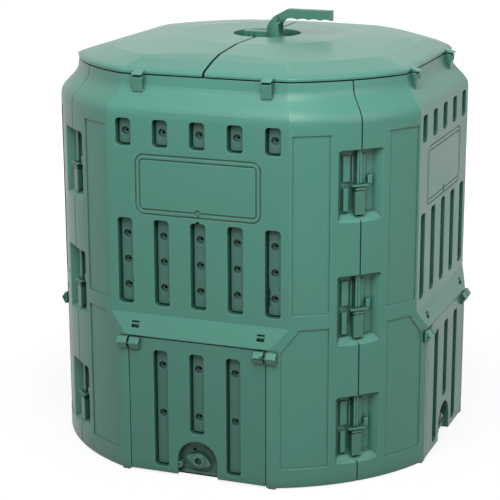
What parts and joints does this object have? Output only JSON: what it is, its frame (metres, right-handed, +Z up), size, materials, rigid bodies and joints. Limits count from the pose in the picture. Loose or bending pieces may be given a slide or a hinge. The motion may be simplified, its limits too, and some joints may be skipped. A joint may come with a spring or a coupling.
{
  "type": "thermal composter",
  "caption": "Square-shouldered double-walled garden composter with rounded corners, vent slots, bottom doors and a two-part hinged lid with a lever handle.",
  "frame": {"origin": "ground level on the middle axis of the bin", "axes": "+Z up, -Y out of the front wall, +X to its right"},
  "size_m": [0.982, 0.982, 1.066],
  "materials": {
    "wall_green": "satin moulded",
    "door_green": "satin moulded",
    "lid_green": "satin moulded",
    "fitting_green": "satin moulded",
    "inner_green": "fine grain"
  },
  "bodies": {
    "bin": {"wall_front": "wall_green", "inner_wall_front": "inner_green", "door_pins_front": "fitting_green", "wall_right": "wall_green", "inner_wall_right": "inner_green", "door_pins_right": "fitting_green", "wall_back": "wall_green", "inner_wall_back": "inner_green", "door_pins_back": "fitting_green", "wall_left": "wall_green", "inner_wall_left": "inner_green", "door_pins_left": "fitting_green", "lid_pins_left": "fitting_green", "lid_pins_right": "fitting_green"},
    "lid_left": {"lid_left": "lid_green", "lid_inner_left": "inner_green"},
    "lid_right": {"lid_right": "lid_green", "lid_inner_right": "inner_green"},
    "handle": {"lid_handle": "fitting_green", "handle_spindle": "fitting_green", "handle_lock_arm": "fitting_green"},
    "door_front": {"door_front": "door_green", "door_inner_front": "inner_green"},
    "knob_front": {"door_knob_front": "fitting_green", "door_tongue_front": "fitting_green"},
    "latch_front_right_low": {"latch_front_right_low": "fitting_green"},
    "latch_front_right_middle": {"latch_front_right_middle": "fitting_green"},
    "latch_front_right_high": {"latch_front_right_high": "fitting_green"},
    "door_right": {"door_right": "door_green", "door_inner_right": "inner_green"},
    "knob_right": {"door_knob_right": "fitting_green", "door_tongue_right": "fitting_green"},
    "latch_back_right_low": {"latch_back_right_low": "fitting_green"},
    "latch_back_right_middle": {"latch_back_right_middle": "fitting_green"},
    "latch_back_right_high": {"latch_back_right_high": "fitting_green"},
    "door_back": {"door_back": "door_green", "door_inner_back": "inner_green"},
    "knob_back": {"door_knob_back": "fitting_green", "door_tongue_back": "fitting_green"},
    "latch_back_left_low": {"latch_back_left_low": "fitting_green"},
    "latch_back_left_middle": {"latch_back_left_middle": "fitting_green"},
    "latch_back_left_high": {"latch_back_left_high": "fitting_green"},
    "door_left": {"door_left": "door_green", "door_inner_left": "inner_green"},
    "knob_left": {"door_knob_left": "fitting_green", "door_tongue_left": "fitting_green"},
    "latch_front_left_low": {"latch_front_left_low": "fitting_green"},
    "latch_front_left_middle": {"latch_front_left_middle": "fitting_green"},
    "latch_front_left_high": {"latch_front_left_high": "fitting_green"}
  },
  "joints": [
    {"name": "door_front_hinge", "type": "hinge", "parent": "bin", "child": "door_front", "pos_m": [0, -0.484, 0.324], "axis": [-1, 0, 0], "range_deg": [0, 90]},
    {"name": "knob_front_turn", "type": "hinge", "parent": "door_front", "child": "knob_front", "pos_m": [0, -0.455, 0.043], "axis": [0, 1, 0], "range_deg": [0, 90]},
    {"name": "latch_front_right_low_slide", "type": "slide", "parent": "bin", "child": "latch_front_right_low", "axis": [0, 0, 1], "range_m": [0, 0.045]},
    {"name": "latch_front_right_middle_slide", "type": "slide", "parent": "bin", "child": "latch_front_right_middle", "axis": [0, 0, 1], "range_m": [0, 0.045]},
    {"name": "latch_front_right_high_slide", "type": "slide", "parent": "bin", "child": "latch_front_right_high", "axis": [0, 0, 1], "range_m": [0, 0.045]},
    {"name": "door_right_hinge", "type": "hinge", "parent": "bin", "child": "door_right", "pos_m": [0.484, 0, 0.324], "axis": [0, -1, 0], "range_deg": [0, 90]},
    {"name": "knob_right_turn", "type": "hinge", "parent": "door_right", "child": "knob_right", "pos_m": [0.455, 0, 0.043], "axis": [-1, 0, 0], "range_deg": [0, 90]},
    {"name": "latch_back_right_low_slide", "type": "slide", "parent": "bin", "child": "latch_back_right_low", "axis": [0, 0, 1], "range_m": [0, 0.045]},
    {"name": "latch_back_right_middle_slide", "type": "slide", "parent": "bin", "child": "latch_back_right_middle", "axis": [0, 0, 1], "range_m": [0, 0.045]},
    {"name": "latch_back_right_high_slide", "type": "slide", "parent": "bin", "child": "latch_back_right_high", "axis": [0, 0, 1], "range_m": [0, 0.045]},
    {"name": "door_back_hinge", "type": "hinge", "parent": "bin", "child": "door_back", "pos_m": [0, 0.484, 0.324], "axis": [1, 0, 0], "range_deg": [0, 90]},
    {"name": "knob_back_turn", "type": "hinge", "parent": "door_back", "child": "knob_back", "pos_m": [0, 0.455, 0.043], "axis": [0, -1, 0], "range_deg": [0, 90]},
    {"name": "latch_back_left_low_slide", "type": "slide", "parent": "bin", "child": "latch_back_left_low", "axis": [0, 0, 1], "range_m": [0, 0.045]},
    {"name": "latch_back_left_middle_slide", "type": "slide", "parent": "bin", "child": "latch_back_left_middle", "axis": [0, 0, 1], "range_m": [0, 0.045]},
    {"name": "latch_back_left_high_slide", "type": "slide", "parent": "bin", "child": "latch_back_left_high", "axis": [0, 0, 1], "range_m": [0, 0.045]},
    {"name": "door_left_hinge", "type": "hinge", "parent": "bin", "child": "door_left", "pos_m": [-0.484, 0, 0.324], "axis": [0, 1, 0], "range_deg": [0, 90]},
    {"name": "knob_left_turn", "type": "hinge", "parent": "door_left", "child": "knob_left", "pos_m": [-0.455, 0, 0.043], "axis": [1, 0, 0], "range_deg": [0, 90]},
    {"name": "latch_front_left_low_slide", "type": "slide", "parent": "bin", "child": "latch_front_left_low", "axis": [0, 0, 1], "range_m": [0, 0.045]},
    {"name": "latch_front_left_middle_slide", "type": "slide", "parent": "bin", "child": "latch_front_left_middle", "axis": [0, 0, 1], "range_m": [0, 0.045]},
    {"name": "latch_front_left_high_slide", "type": "slide", "parent": "bin", "child": "latch_front_left_high", "axis": [0, 0, 1], "range_m": [0, 0.045]},
    {"name": "lid_left_hinge", "type": "hinge", "parent": "bin", "child": "lid_left", "pos_m": [-0.4315, 0, 0.94805], "axis": [0, -1, 0], "range_deg": [0, 95]},
    {"name": "lid_right_hinge", "type": "hinge", "parent": "bin", "child": "lid_right", "pos_m": [0.4315, 0, 0.94805], "axis": [0, 1, 0], "range_deg": [0, 95]},
    {"name": "handle_turn", "type": "hinge", "parent": "lid_right", "child": "handle", "pos_m": [0, 0, 0.972], "axis": [0, 0, 1], "range_deg": [0, 90]}
  ]
}
